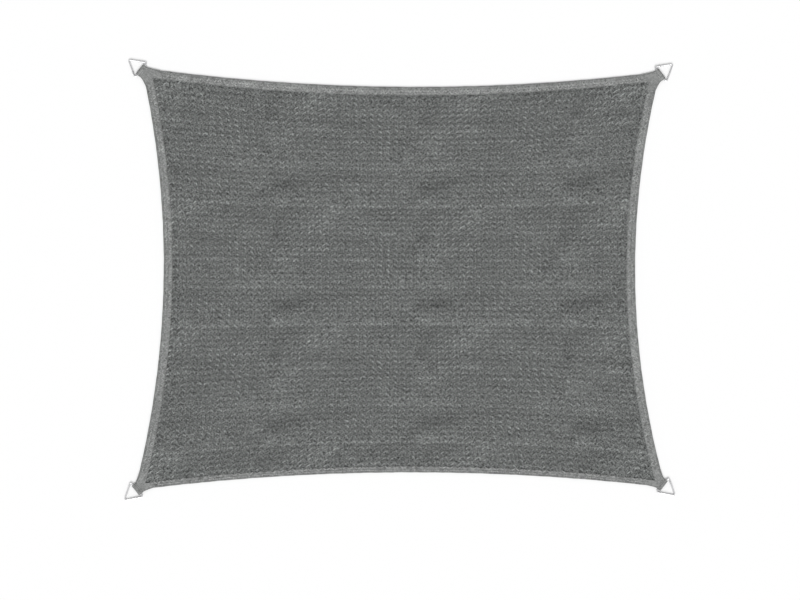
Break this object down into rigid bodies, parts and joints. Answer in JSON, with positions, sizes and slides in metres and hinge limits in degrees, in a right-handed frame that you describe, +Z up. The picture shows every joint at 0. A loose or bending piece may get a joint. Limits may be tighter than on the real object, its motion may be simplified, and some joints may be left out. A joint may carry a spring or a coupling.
{
  "type": "shade sail",
  "caption": "Rectangular knitted shade sail laid flat, with hollow-cut bound edges and a triangular steel ring held in folded webbing at each corner.",
  "frame": {"origin": "the middle of the sail's outer box, on the surface that it lies on", "axes": "+X along the long side, +Y along the short side, +Z up from the surface"},
  "size_m": [2.5264, 2.0246, 0.0101],
  "materials": {
    "knitted_cloth": "matt knitted polyethylene",
    "binding_tape": "woven tape",
    "webbing": "woven webbing",
    "steel_wire": "satin stainless steel"
  },
  "bodies": {
    "root": {"cloth_panel": "knitted_cloth", "binding_top": "binding_tape", "binding_bottom": "binding_tape", "binding_left": "binding_tape", "binding_right": "binding_tape", "webbing_top_left": "webbing", "webbing_top_right": "webbing", "webbing_bottom_left": "webbing", "webbing_bottom_right": "webbing", "ring_top_left": "steel_wire", "ring_top_right": "steel_wire", "ring_bottom_left": "steel_wire", "ring_bottom_right": "steel_wire"}
  },
  "joints": []
}
